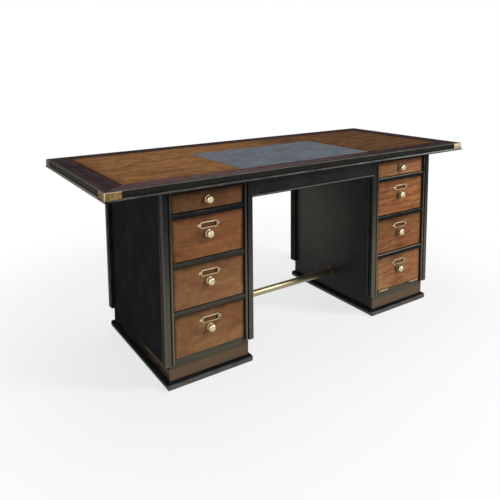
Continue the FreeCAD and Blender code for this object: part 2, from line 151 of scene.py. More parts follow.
class DeskColours(bpy.types.PropertyGroup):
    """Colours of the desk's finishes, as linear values."""

    lacquer: colour_of("Lacquer", "Black lacquer on the carcase and the moulding", (0.0085, 0.0088, 0.0095))
    lacquer_bloom: colour_of("Lacquer bloom", "Greyer patches in the lacquer", (0.0168, 0.0174, 0.0182))
    # Also the colour of the painted highlights along the lacquer's edges and beads
    rub_and_highlight: colour_of("Rubbed edge", "Grey-tan where the lacquer is rubbed thin along an edge",
                      (0.17, 0.155, 0.118))
    # Also the colour of the painted sheen on the kneehole sides and of the painted light on the upper outer
    # sides
    haze_and_sheen: colour_of("Haze", "Olive-grey of lacquer worn thin over a whole face", (0.086, 0.080, 0.059))
    worn_wood: colour_of("Worn wood", "Brown wood that shows through the lacquer near the floor",
                         (0.148, 0.094, 0.059))
    # Also the colour of the painted highlights on the aprons' beads and the top's bead
    scuff_and_highlight: colour_of("Scuffed grey", "Neutral grey of the plinths, the aprons' beads and the top's bead",
                       (0.165, 0.162, 0.152))
    front_light: colour_of("Front, light", "Light figure of the drawer fronts", (0.30, 0.142, 0.056))
    front_mid: colour_of("Front, middle", "Middle tone of the drawer fronts", (0.192, 0.086, 0.036))
    # Also, darker still, the colour of the painted shade under the rails, of the knobs' painted shadows and
    # of the painted shade in the label windows
    front_dark: colour_of("Front, dark", "Dark figure and burnished edges of the drawer fronts",
                          (0.088, 0.034, 0.0135))
    front_red: colour_of("Front, red", "Redder patches of the drawer fronts", (0.205, 0.076, 0.030))
    field_light: colour_of("Field, light", "Light figure of the top's field", (0.303, 0.152, 0.054))
    field_dark: colour_of("Field, dark", "Dark streaks of the top's field", (0.130, 0.058, 0.023))
    border_light: colour_of("Border, light", "Light figure of the banded border", (0.056, 0.036, 0.036))
    border_dark: colour_of("Border, dark", "Dark figure of the banded border", (0.026, 0.0155, 0.0165))
    leather: colour_of("Leather", "Grey-blue leather of the writing surface", (0.118, 0.133, 0.152))
    brass: colour_of("Antique brass", "Brass of the knobs, holders, guards and hinges", (0.69, 0.555, 0.37))
    brass_tarnish: colour_of("Tarnish", "Brown tarnish in the hollows of the brass", (0.23, 0.15, 0.07))
    guard: colour_of("Guard brass", "Darker golden brass of the corner guards", (0.29, 0.175, 0.074))
    rod: colour_of("Polished brass", "Brass of the foot rod", (0.385, 0.328, 0.212))
    lining: colour_of("Drawer lining", "Plain wood of the drawer boxes and runners", (0.42, 0.29, 0.165))


class DeskSizes(bpy.types.PropertyGroup):
    """Sizes of the modelled brass and joinery."""

    knob_segments: bpy.props.IntProperty(
        name="Turning segments", description="Faces round a turned piece", default=48, min=16, max=96)
    holder_length: length_of("Holder length", "Length of a label holder's frame", 0.074)
    holder_height: length_of("Holder height", "Height of a label holder's frame", 0.026)
    holder_rim: length_of("Holder rim", "Width of a label holder's rim", 0.0048)
    holder_corner: length_of("Holder corner", "Cut of a label holder's outer corners", 0.006)
    holder_ear: length_of("Holder ear", "Radius of a label holder's screw ears", 0.0059)
    holder_ear_thickness: length_of("Ear thickness", "Thickness of a label holder's screw ears", 0.002)
    brass_edge: length_of("Brass edge", "Rounding of the edges of pressed brass", 0.0007)
    guard_leg: length_of("Guard leg", "Length of a corner guard along the edge of the top", 0.0596)
    guard_sheet: length_of("Guard sheet", "Thickness of a corner guard", 0.0016)
    guard_corner: length_of("Guard corner", "Radius of a corner guard's upright edge", 0.0035)
    guard_screw_inset: length_of("Guard screw inset", "Distance of a screw from the end of a guard's leg",
                                 0.012)
    box_wall: length_of("Drawer side", "Thickness of a drawer's sides and back", 0.012)
    box_bottom: length_of("Drawer bottom", "Thickness of a drawer's bottom", 0.006)
    box_edge: length_of("Drawer edge", "Rounding of a drawer side's upper edge", 0.0025)


class StageSettings(bpy.types.PropertyGroup):
    """Camera and light of the plain studio."""

    eye: bpy.props.FloatVectorProperty(
        name="Eye", description="Camera position", subtype="XYZ", unit="LENGTH",
        size=3, default=(-1.4577, -2.0507, 1.1800))
    yaw: angle_of("Yaw", "Camera turn to the right of +Y", 33.43)
    pitch: angle_of("Pitch", "Camera tilt below the horizon", 6.80)
    roll: angle_of("Roll", "Camera roll", -0.49)
    lens: bpy.props.FloatProperty(
        name="Lens", description="Focal length on a 36 mm sensor, in millimetres", default=39.17,
        unit="CAMERA")
    rise: bpy.props.FloatProperty(
        name="Rise", description="Vertical shift of the lens, as a share of the frame", default=-0.246,
        min=-1, max=1, subtype="FACTOR")
    ambient: bpy.props.FloatProperty(
        name="Ambient", description="Strength of the even light from all round", default=0.34, min=0)
    floor_tone: bpy.props.FloatProperty(
        name="Floor tone", description="Reflectance of the pale floor", default=0.93, min=0, max=1,
        subtype="FACTOR")


class DeskSettings(bpy.types.PropertyGroup):
    """All settings of the desk."""

    colours: group_of(DeskColours, "Colours", "Colours of the finishes")
    sizes: group_of(DeskSizes, "Sizes", "Sizes of brass and joinery")
    stage: group_of(StageSettings, "Stage", "Camera and light")


def settings():
    return bpy.context.scene.captains_desk


# Nodes shared by the finishes and the stage

# Socket numbers of a node that mixes two colours
MIX_FACTOR, MIX_FIRST, MIX_SECOND, MIX_RESULT = 0, 6, 7, 2


def add(tree, kind, inputs, **options):
    """Adds a node with its options, and links or sets its inputs, which go by name or number."""
    node = tree.nodes.new(kind)
    for name, option in options.items():
        setattr(node, name, option)
    for name, value in inputs.items():
        socket = node.inputs[name]
        if isinstance(value, Value):
            tree.links.new(value.socket, socket)
        elif socket.type == "RGBA":
            socket.default_value = (*value, 1.0)
        else:
            socket.default_value = value
    return node


def work(operation, *values):
    """One operation on numbers, at least one of which comes from nodes."""
    tree = next(value.tree for value in values if isinstance(value, Value))
    return Value(add(tree, "ShaderNodeMath", dict(enumerate(values)), operation=operation).outputs[0])


def least(*values):
    return reduce(partial(work, "MINIMUM"), values)


def most(*values):
    return reduce(partial(work, "MAXIMUM"), values)


def distance(across, up):
    return work("SQRT", across * across + up * up)


class Value:
    """A number or colour that nodes work out at each place."""

    def __init__(self, socket):
        self.socket = socket
        self.tree = socket.id_data

    def __add__(self, other):
        return work("ADD", self, other)

    def __sub__(self, other):
        return work("SUBTRACT", self, other)

    def __rsub__(self, other):
        return work("SUBTRACT", other, self)

    def __mul__(self, other):
        return work("MULTIPLY", self, other)

    def __mod__(self, other):
        return work("MODULO", self, other)

    def __abs__(self):
        return work("ABSOLUTE", self)

    def off(self, centre):
        """Distance from a centre."""
        return abs(self - centre)

    def inside(self, half, centre=0.0):
        """Distance inwards from the nearer of two edges that lie half a width from a centre."""
        return half - self.off(centre)

    def fade(self, start, end):
        """0 at start, 1 at end, smooth between."""
        inputs = {"Value": self, "From Min": start, "From Max": end}
        return Value(add(self.tree, "ShaderNodeMapRange", inputs,
                         interpolation_type="SMOOTHSTEP").outputs["Result"])

    def mix(self, first, second):
        """The first colour where this is 0, the second where it is 1."""
        inputs = {MIX_FACTOR: self, MIX_FIRST: first, MIX_SECOND: second}
        return Value(add(self.tree, "ShaderNodeMix", inputs, data_type="RGBA").outputs[MIX_RESULT])

    def tint(self, colour):
        """A colour made lighter or darker by this factor."""
        inputs = {0: colour, "Scale": self}
        return Value(add(self.tree, "ShaderNodeVectorMath", inputs, operation="SCALE").outputs[0])

    def stain(self, *shares):
        """This colour with each of its three parts made stronger or weaker."""
        inputs = {0: self, 1: shares}
        return Value(add(self.tree, "ShaderNodeVectorMath", inputs, operation="MULTIPLY").outputs[0])


def seen(tree):
    """1 for rays that come from the eye, straight, mirrored or through glass."""
    path = add(tree, "ShaderNodeLightPath", {}).outputs
    camera, glossy, through = (Value(path[f"Is {kind} Ray"]) for kind in ("Camera", "Glossy", "Transmission"))
    return camera + glossy + through


class Finish:
    """One material, made from the place on the desk, in metres."""

    def __init__(self, name, metallic=0.0, specular=0.5):
        self.material = bpy.data.materials.new(name)
        self.material.use_nodes = True
        self.tree = self.material.node_tree
        self.shader = next(node for node in self.tree.nodes if node.type == "BSDF_PRINCIPLED")
        self.place = Value(add(self.tree, "ShaderNodeTexCoord", {}).outputs["Object"])
        parts = add(self.tree, "ShaderNodeSeparateXYZ", {"Vector": self.place}).outputs
        self.x, self.y, self.z = (Value(part) for part in parts)
        self.shader.inputs["Metallic"].default_value = metallic
        self.shader.inputs["Specular IOR Level"].default_value = specular

    def texture(self, kind, output, scale, shift, inputs, **options):
        """A texture with its own number of cells per metre along each axis."""
        spread = {"Vector": self.place, "Location": shift, "Scale": scale}
        mapped = Value(add(self.tree, "ShaderNodeMapping", spread).outputs["Vector"])
        inputs = {"Vector": mapped, "Scale": 1.0, **inputs}
        return Value(add(self.tree, "ShaderNodeTex" + kind, inputs, **options).outputs[output])

    def noise(self, scale, shift=(0, 0, 0), detail=4.0, rough=0.55, bend=0.0):
        """Cloudy noise."""
        inputs = {"Detail": detail, "Roughness": rough, "Distortion": bend}
        return self.texture("Noise", "Fac", scale, shift, inputs)

    def cells(self, scale):
        """Distance to the nearest cell centre of a random pebble pattern."""
        return self.texture("Voronoi", "Distance", scale, (0, 0, 0), {})

    def waves(self, scale, bend, shift):
        """Wavy lines that lie one above another."""
        inputs = {"Distortion": bend, "Detail": 2.0}
        return self.texture("Wave", "Fac", scale, shift, inputs, bands_direction="Z")

    def broken(self, mask, scale, amount, shift=(0, 0, 0)):
        """A wear mask made patchy by noise."""
        noise = self.noise(scale, shift, detail=5.0, rough=0.65)
        return (mask + (noise - 0.5) * amount).fade(0.25, 0.85)

    def link(self, name, value):
        self.tree.links.new(value.socket, self.shader.inputs[name])

    def relief(self, height, strength, depth):
        inputs = {"Strength": strength, "Distance": depth, "Height": height}
        self.link("Normal", Value(add(self.tree, "ShaderNodeBump", inputs).outputs["Normal"]))

    def done(self, colour, roughness):
        self.link("Base Color", colour)
        self.link("Roughness", roughness)
        return self.material


def coat_with(material, *nodes):
    for node in nodes:
        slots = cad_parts[node].data.materials
        slots.clear()
        slots.append(material)


def toned(colour, *shares):
    """A colour whose parts are made stronger or weaker, each by its own share or all by one."""
    return [part * share for part, share in zip(colour, shares if len(shares) > 1 else shares * 3)]


def along(axis, coarse, fine):
    """Noise cells per metre that run long along one axis and short across it."""
    return tuple(coarse if name == axis else fine for name in "XYZ")


# Lacquer and the masks of its wear, painted highlights, painted sheen, painted light and painted shade, with
# lengths in metres


def lacquer(name, axis, wear_and_highlight=None, wood=None, haze_and_sheen=None, shade_and_patina=None, wear_and_highlight_colour=None, bright=0.55, specular=0.12,
            depth=1.0, patches=1.0):
    """Black lacquer with faint brush marks, worn and given painted highlights, sheen, light and shade where
    the masks say.
    """
    colours = settings().colours
    coat = Finish(name, specular=specular)
    bloom = coat.noise((9, 9, 9), detail=5.0)
    brush = coat.noise(along(axis, 5, 160), detail=3.0)
    specks = coat.noise((420, 420, 420), detail=2.0).fade(0.66, 0.74)
    greyer = (bloom * 0.65 + brush * 0.35).fade(0.42, 0.68)
    colour = (greyer * patches).mix(colours.lacquer, colours.lacquer_bloom).stain(depth, depth, depth)
    colour = (specks * (0.10 * depth)).mix(colour, colours.rub_and_highlight)
    rough = bloom * 0.16 + 0.28
    # Paler lacquer, which on the kneehole sides is a painted sheen and on the upper outer sides painted light
    if haze_and_sheen:
        cloud = coat.noise(along(axis, 8, 90), (1.3, 0.2, 2.7), detail=5.0)
        colour = (haze_and_sheen(coat) * (cloud + 0.5)).mix(colour, colours.haze_and_sheen)
    if wood:
        shown = coat.broken(wood(coat), (18, 18, 45), amount=0.9)
        colour = (shown * 0.8).mix(colour, colours.worn_wood)
        rough = rough + shown * 0.16
    # Wear and painted highlights along edges and beads
    if wear_and_highlight:
        worn = coat.broken(wear_and_highlight(coat), along(axis, 16, 130), amount=0.7, shift=(3.1, 1.7, 0.4))
        colour = (worn * bright).mix(colour, wear_and_highlight_colour or colours.rub_and_highlight)
        rough = rough + worn * 0.12
    # Painted shade in recesses such as the posts' quirks
    if shade_and_patina:
        colour = (shade_and_patina(coat) * 0.9).mix(colour, toned(colours.lacquer, 0.3))
    coat.relief(brush * 0.5 + coat.noise(along(axis, 24, 700), detail=2.0), strength=0.10, depth=0.4 * MM)
    return coat.done(colour, rough)


def from_post_corner(at):
    """Distance from the outer corner of the nearest post, along whichever side is farther."""
    return most(abs(at.x).inside(POST_REACH.x, POST_MIDDLE.x), at.y.inside(POST_REACH.y, POST_MIDDLE.y))


def on_front(at):
    """Within a few millimetres of the posts' front plane."""
    return (at.y - POST_FRONT).fade(5.6 * MM, 4.4 * MM)


def post_wear_and_highlight(at):
    """Wear and painted highlights on the corner and both beads of a post, with the quirk between them left
    dark.
    """
    away = from_post_corner(at)
    corner = away.fade(4.0 * MM, 0.5 * MM)
    bead = away.off(POST_BEAD).fade(4.0 * MM, 0.8 * MM)
    arris = away.off(POST_ARRIS).fade(1.4 * MM, 0.3 * MM)
    foot = at.z.fade(0.100, 0.094)
    height = at.z.fade(0.70, 0.15) * 0.35 + 0.5
    return most(corner, bead, arris * 0.5, foot) * height * (on_front(at) * 0.25 + 0.75)


def post_haze(at):
    """Paler towards the floor, on the front face."""
    return at.z.fade(0.74, 0.16) * on_front(at)


def post_quirk_shade(at):
    """Painted shade in the quirks."""
    return from_post_corner(at).off(POST_QUIRK).fade(3.2 * MM, 2.3 * MM)


def low_wood(at):
    """Wood that shows through at the bottom of the carcase."""
    return at.z.fade(0.088, 0.058) * at.y.fade(-0.20, -0.325)


def side_wood(at):
    """A worn line along the foot of each outer side, strongest in front and on the left."""
    line = at.z.off(0.062).fade(0.013, 0.004)
    foot = at.z.fade(0.075, 0.045) * 0.5
    return most(line, foot) * at.y.fade(0.16, -0.30) * (at.x.fade(0.4, -0.4) * 0.4 + 0.5)


def rail_wear_and_highlight(at):
    """Wear and painted highlight along the upper edge of each rail's nose, the painted highlight brighter on
    the right but for the middle rail.
    """
    upper = ((at.z - LOWEST_RAIL) % RAIL_PITCH).off(RAIL_NOSE).fade(2.6 * MM, 0.6 * MM)
    front = at.y.fade(RAIL_FRONT + 8 * MM, RAIL_FRONT + 3 * MM)
    above_sill = at.z.fade(0.2, 0.25)
    at_middle = at.z.off(MIDDLE_RAIL).fade(0.12, 0.05)
    right = at.x.fade(-0.1, 0.1) * (0.65 - at_middle * 0.5)
    return upper * front * above_sill * (right + 0.35)


def rail_haze(at):
    """Rails on the left are paler towards the floor, and the sill and base most of all."""
    return most(at.z.fade(0.66, 0.26) * at.x.fade(0.1, -0.1) * 0.55, at.z.fade(0.14, 0.11) * 0.85)


def left_end(at):
    """The top's left end."""
    return at.x.fade(5.4 * MM - TOP_REACH.x, 4.4 * MM - TOP_REACH.x)


def moulding_wear_and_highlight(at):
    """Wear and painted highlights on the upper arris and bead of the top's edge, the bead brighter towards
    both ends.
    """
    from_band = least(at.x.inside(TOP_REACH.x - 4 * MM), at.y.inside(TOP_REACH.y - 4 * MM))
    rim = from_band.fade(3.4 * MM, 1.4 * MM) * at.z.fade(TOP_HIGH - 2.6 * MM, TOP_HIGH - 1.4 * MM)
    bead = at.z.off(TOP_LOW + TOP_BEAD).fade(6.0 * MM, 1.5 * MM)
    level = at.x.fade(-0.4, 0.8) * 0.08 + (left_end(at) * 0.4 + 0.47) + at.x.fade(0.3, 0.8) * 0.2
    return most(rim * 0.55, bead * level)


def moulding_haze(at):
    """Flat upper face of the moulding, made paler like the border, and its left end, also paler."""
    upper = at.z.fade(TOP_HIGH - 1.2 * MM, TOP_HIGH - 0.5 * MM)
    return most(upper * 0.5, left_end(at) * 0.7, 0.12)


def apron_wear_and_highlight(at):
    """Wear and painted highlight on the bead along an apron's bottom edge."""
    return at.z.off(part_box("apron_front")[0].z + APRON_BEAD).fade(3.4 * MM, 0.8 * MM)


def plinth_rub(at):
    """Upright faces of the plinth in front, and its foot all round."""
    face = at.z.fade(27.0 * MM, 20.0 * MM)
    front = at.y.fade(POST_FRONT + 20 * MM, POST_FRONT + 9 * MM)
    foot = at.z.fade(18 * MM, 12 * MM) * (1.2 - front * 0.6)
    return most(face * front * 0.58, foot)


def kneehole_sheen(at):
    """Painted sheen in the middle of the pedestals' inner sides."""
    return distance(at.y - 0.13, at.z - 0.42).fade(0.42, 0.04) * 0.78


def panel_upper_light(at):
    """Painted light on the upper half of the outer sides and backs, which makes them a little paler."""
    return at.z.fade(0.30, 0.72) * 0.07


def panel_rub(at):
    """A few scuffs on a wide panel."""
    return at.noise((3, 3, 60), detail=3.0).fade(0.74, 0.86)


# Veneers, leather, brass and plain wood


def wood_grain(coat, axis, seed, figure=1.0):
    """Broad figure, streaks, fine pores and mottle of a board whose grain runs along one axis."""
    shift = (seed * 1.37, seed * 0.71, seed * 2.13)
    broad = coat.noise(along(axis, 4.5, 24), shift, detail=4.0, rough=0.6, bend=0.9 * figure)
    streak = coat.noise(along(axis, 17, 130), shift, detail=4.0, rough=0.62)
    pores = coat.noise(along(axis, 55, 1150), shift, detail=2.0).fade(0.60, 0.74)
    mottle = coat.noise((38, 38, 38), shift, detail=3.0, rough=0.55)
    return broad, streak, pores, mottle


def label_window_shade(at, name):
    """Painted shade on the wood inside a label holder's rim, darkest below its upper edge and at its right
    end.
    """
    sizes = settings().sizes
    centre = middle(name + "_label_holder")
    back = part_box(name + "_label_holder")[1].y
    half_length = sizes.holder_length / 2 - sizes.holder_rim
    half_height = sizes.holder_height / 2 - sizes.holder_rim
    inset = least(at.x.inside(half_length, centre.x), at.z.inside(half_height, centre.z))
    face = at.y.fade(back + 2.0 * MM, back + 1.0 * MM)
    upper = at.z.fade(centre.z, centre.z + half_height)
    end = at.x.fade(centre.x + 0.4 * half_length, centre.x + 0.9 * half_length)
    return inset.fade(-1.0 * MM, 0.0) * face * (most(upper, end) * 0.4 + 0.48)


def knob_shadow(at, name):
    """Painted shadow of a knob, on the wood to its left."""
    knob = middle(name + "_knob")
    return distance(at.x - (knob.x - 13 * MM), at.z - (knob.z - 2 * MM)).fade(20 * MM, 8 * MM)


def front_veneer(name, node, seed):
    """Reddish-brown front with mottled figure, burnished edges, painted shade and painted light."""
    colours = settings().colours
    light, redness, streaks = FRONT_TONES_AND_LIGHT[name]
    low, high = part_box(node)
    coat = Finish(name + "_veneer", specular=0.07)
    broad, streak, pores, mottle = wood_grain(coat, "X", seed, figure=1.4)
    figure = broad * 0.40 + mottle * 0.30 + streak * 0.30
    colour = figure.fade(0.36, 0.66).mix(colours.front_mid, colours.front_light)
    red = coat.noise((7, 7, 7), (seed * 3.1, 0, seed), detail=3.0)
    colour = (red.fade(0.42, 0.66) * 0.7).mix(colour, colours.front_red)

    # Dark figure
    lines = coat.waves((3, 10, 10), bend=12.0, shift=(seed, 0, seed * 0.7)).fade(0.62, 0.08)
    lines = lines * broad.fade(0.3, 0.6)
    smudge = coat.noise((8, 8, 17), (seed, 0, seed * 2.3), detail=6.0, rough=0.6).fade(0.50, 0.72)
    dark = ((streak.fade(0.52, 0.68), streaks), (lines, streaks * 0.6), (smudge, 0.66), (pores, 0.35))
    for mask, share in dark:
        colour = (mask * share).mix(colour, colours.front_dark)

    # Burnished edges with painted shade from the rail above, the knob's painted shadow and painted shade in
    # the label holder's window
    from_side = coat.x.inside(reach(node).x, middle(node).x)
    from_top = high.z - coat.z
    from_end = least(from_top, coat.z - low.z + 11 * MM)
    wander = (coat.noise((24, 24, 24), (seed, 0, seed), detail=4.0) - 0.5) * (18 * MM)
    inset = least(from_side, from_end) + wander
    # Painted shade that the rail above casts on the top of the front
    upper = (from_top + wander).fade(28 * MM, 2 * MM)
    burnish_and_shade = most(inset.fade(18 * MM, 1.0 * MM), upper * 0.5)
    colour = (burnish_and_shade * 0.78).mix(colour, toned(colours.front_dark, 0.38))
    # Dark colour of the painted shadow and painted shade on the front
    painted_shade = toned(colours.front_dark, 0.3)
    # Painted shadow of the knob, stronger on the right pedestal, where the key lamp comes from the right
    colour = (knob_shadow(coat, name) * (0.85 if low.x > 0 else 0.3)).mix(colour, painted_shade)
    # Painted shade in the label holder's window
    if name in LABELLED:
        colour = label_window_shade(coat, name).mix(colour, painted_shade)

    # The front's own tone and its painted light and shade, and painted light that makes it lighter to the
    # right and downwards
    colour = colour.stain(light, light * (1 - 0.2 * redness), light * (1 - 0.35 * redness))
    across = coat.x.fade(low.x, high.x) * 0.16 + 0.96
    painted_light_down = coat.z.fade(high.z, low.z) * 0.2 + 0.93
    coat.relief(streak * 0.6 - pores * 0.5, strength=0.16, depth=0.3 * MM)
    return coat.done((across * painted_light_down).tint(colour), streak * 0.14 + 0.38)


def field_veneer():
    """Golden-brown field with long streaks, darker and bluer towards the right."""
    colours = settings().colours
    coat = Finish("field_veneer", specular=0.0)
    broad, streak, pores, mottle = wood_grain(coat, "X", seed=4.0)
    inset = least(coat.x.inside(FIELD_REACH.x), coat.y.inside(FIELD_REACH.y))
    shade = (inset + (mottle - 0.5) * 0.05).fade(0.045, 0.0)
    figure = broad * 0.32 + mottle * 0.16 + streak * 0.52
    colour = figure.fade(0.38, 0.64).mix(colours.field_dark, colours.field_light)
    colour = (pores * 0.45).mix(colour, colours.field_dark)
    colour = (shade * 0.55).mix(colour, colours.field_dark)
    colour = coat.x.fade(-0.3, 0.36).mix(colour.stain(0.98, 0.98, 1.10), colour.stain(0.93, 0.96, 1.32))
    colour = (1.0 - coat.x.fade(-0.25, 0.36) * 0.445).tint(colour)
    colour = inset.fade(2.4 * MM, 1.4 * MM).mix(colour, colours.border_dark)
    coat.relief(streak * 0.5 - pores * 0.5, strength=0.12, depth=0.3 * MM)
    return coat.done(colour, streak * 0.14 + 0.44)


def border_veneer():
    """Banding whose grain runs along each strip and turns at the mitres, with a painted sheen that makes it
    paler along the front.
    """
    colours = settings().colours
    coat = Finish("border_veneer", specular=0.0)
    slope = (BORDER_REACH.x - FIELD_REACH.x) / (BORDER_REACH.y - FIELD_REACH.y)
    past_mitre = coat.y.inside(BORDER_REACH.y) * slope - coat.x.inside(BORDER_REACH.x)
    at_end = past_mitre.fade(-0.2 * MM, 0.2 * MM)
    bands = []
    for axis in "XY":
        broad, streak, pores, mottle = wood_grain(coat, axis, seed=7.0, figure=0.5)
        figure = broad * 0.4 + mottle * 0.3 + streak * 0.4
        band = figure.fade(0.42, 0.68).mix(colours.border_dark, colours.border_light)
        bands.append((pores * 0.5).mix(band, colours.border_dark))
    colour = abs(past_mitre).fade(0.9 * MM, 0.3 * MM).mix(at_end.mix(*bands), colours.border_dark)
    # Painted sheen along the front strip
    front = (1.0 - at_end) * coat.y.fade(0.0, -0.1) * coat.x.fade(0.7, -0.6)
    return coat.done((front * 1.4 + 1.0).tint(colour), coat.noise((40, 40, 40)) * 0.14 + 0.33)


def leather_finish():
    """Fine-grained leather, mottled and a little darker round the edge."""
    leather = settings().colours.leather
    coat = Finish("desk_leather", specular=0.0)
    centre, half = middle("leather_inlay"), reach("leather_inlay")
    inset = least(coat.x.inside(half.x, centre.x), coat.y.inside(half.y, centre.y))
    cloud = coat.noise((7, 9, 9), detail=5.0, rough=0.6)
    patch = coat.noise((34, 34, 34), detail=4.0, rough=0.65)
    colour = (cloud * 0.9 + patch * 0.9 + 0.1).tint(leather)
    colour = inset.fade(4.0 * MM, 0.5 * MM).mix(colour, toned(leather, 0.45))
    coat.relief(coat.cells((620, 620, 620)) + patch * 0.6, strength=0.32, depth=0.25 * MM)
    return coat.done(colour, patch * 0.2 + 0.46)


def brass(name, colour, roughness, spots, shade_and_patina=None, tarnish=None):
    """Brass with worn high places, small tarnish spots and fine scratches, darkened by patina and painted
    shade where the mask says.
    """
    tarnish = tarnish or settings().colours.brass_tarnish
    coat = Finish(name, metallic=1.0)
    cloud = coat.noise((60, 60, 60), detail=5.0, rough=0.6)
    spot = coat.noise((260, 260, 260), detail=4.0, rough=0.7).fade(0.56, 0.74)
    scratch = coat.noise((90, 900, 900), detail=2.0)
    worn = cloud.fade(0.45, 0.75) * spots + spot * (spots * 0.8)
    shade = worn.mix(colour, tarnish)
    if shade_and_patina:
        # Patina and painted shade, where the mask says
        deep = shade_and_patina(coat)
        shade = deep.mix(shade, toned(tarnish, 0.4))
        coat.link("Metallic", 1.0 - deep * 0.8)
    coat.relief(scratch, strength=0.06, depth=0.15 * MM)
    return coat.done(shade, worn * 0.25 + scratch * 0.10 + roughness)


def knob_shade_and_tarnish(at):
    """Patina on the rose and neck of a knob, with painted shadow that makes them darker on the right, and the
    ring in its face, where polish doesn't reach.
    """
    from_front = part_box("flap_knob")[1].y - at.y
    # Patina on every knob's rose and neck, and painted shadow of the knob's head on the right pedestal
    neck = from_front.fade(10.5 * MM, 7.5 * MM) * (at.x.fade(-0.1, 0.1) * 0.55 + 0.3)
    knobs = [middle(name + "_knob") for name in FRONTS]
    across = least(*(at.x.off(place) for place in sorted({round(knob.x, 4) for knob in knobs})))
    up = least(*(at.z.off(height) for height in sorted({round(knob.z, 4) for knob in knobs})))
    ring = distance(across, up).off(8.6 * MM).fade(1.6 * MM, 0.6 * MM) * from_front.fade(20 * MM, 21 * MM)
    return most(neck, ring * 0.7)


def holder_shade_and_tarnish(at):
    """Painted shade on the lower rim of a label holder, and tarnish at its right end, which is touched least.
    """
    from_bottom = work("FLOORED_MODULO", at.z - (FIRST_HOLDER.z - RAIL_PITCH / 2), RAIL_PITCH)
    across = at.x - work("SIGN", at.x) * abs(FIRST_HOLDER.x)
    # Painted shade on the lower rim
    lower = (from_bottom - RAIL_PITCH / 2).fade(4 * MM, -9 * MM)
    return most(lower * 0.35, across.fade(18 * MM, 33 * MM) * 0.45)


def guard_brass():
    """Darker, mottled brass, with painted highlights along the upright corner and upper edge, painted light
    that makes it paler on the right, painted shade on the left-facing leg, and duller at the back left.
    """
    colours = settings().colours
    low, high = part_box("corner_guards")
    coat = Finish("guard_brass", metallic=1.0, specular=0.0)
    cloud = coat.noise((70, 70, 70), detail=5.0, rough=0.65)
    spot = coat.noise((240, 240, 240), detail=4.0, rough=0.7).fade(0.54, 0.72)
    scratch = coat.noise((600, 600, 90), detail=2.0)
    mottle = cloud.fade(0.44, 0.60) * 0.70 + spot * 0.30
    shade = mottle.mix(colours.guard, toned(colours.brass_tarnish, 0.45))
    # Painted highlights along the upright corner and the upper edge
    corner = most(coat.x.inside(high.x), coat.y.inside(high.y)).fade(5.0 * MM, 1.5 * MM)
    upper = coat.z.fade(high.z - 3.0 * MM, high.z - 1.0 * MM)
    shade = (most(corner, upper * 0.6) * (cloud * 0.6 + 0.5)).mix(shade, colours.brass)
    # Painted light that makes the right-hand guards paler
    right = coat.x.fade(-0.2, 0.7)
    right_foot = right * coat.z.fade(low.z + 24 * MM, low.z + 6 * MM)
    # Painted shade on the left-facing leg, which is also made less metallic
    end = coat.x.fade(low.x + 2.0 * MM, low.x + 0.6 * MM) * (1.0 - corner * 0.6)
    far_left = coat.y.fade(0.0, 0.1) * coat.x.fade(0.1, -0.1)
    shade = (right * 0.85).mix(shade, toned(colours.brass, 1.12))
    shade = (right_foot * 0.6).mix(shade, toned(colours.haze_and_sheen, 2.0))
    shade = (end * 0.6).mix(shade, toned(colours.brass_tarnish, 0.7))
    shade = (far_left * 0.75).mix(shade, toned(colours.haze_and_sheen, 1.45))
    coat.link("Metallic", 1.0 - most(end, far_left) * 0.75)
    coat.relief(scratch + cloud * 0.5, strength=0.10, depth=0.2 * MM)
    return coat.done(shade, cloud * 0.2 + 0.22)


def rod_brass():
    """Polished brass that dulls towards the ends of the rod."""
    colours = settings().colours
    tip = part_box("foot_rod")[1].x
    coat = Finish("rod_brass", metallic=1.0)
    cloud = coat.noise((12, 60, 60), detail=4.0)
    dull = abs(coat.x).fade(tip - 0.09, tip - 0.01) * 0.08 + cloud.fade(0.5, 0.75) * 0.25
    coat.relief(coat.noise((1200, 60, 60), detail=2.0), strength=0.03, depth=0.1 * MM)
    return coat.done(dull.mix(colours.rod, colours.brass_tarnish), cloud * 0.12 + 0.34)


def waxed(grain):
    """Colour of plain waxed wood with this grain."""
    lining = settings().colours.lining
    broad, streak, pores, _ = grain
    tone = (broad * 0.5 + streak * 0.5).fade(0.35, 0.7) * 0.55 + 0.6
    return (pores * 0.4).mix(tone.tint(lining), toned(lining, 0.4))


def runner_wood():
    """Plain waxed wood of the runners and bottom boards."""
    coat = Finish("runner_wood", specular=0.3)
    grain = wood_grain(coat, "Y", seed=11.0, figure=0.7)
    _, streak, pores, mottle = grain
    coat.relief(streak - pores, strength=0.12, depth=0.3 * MM)
    return coat.done(waxed(grain), mottle * 0.2 + 0.45)


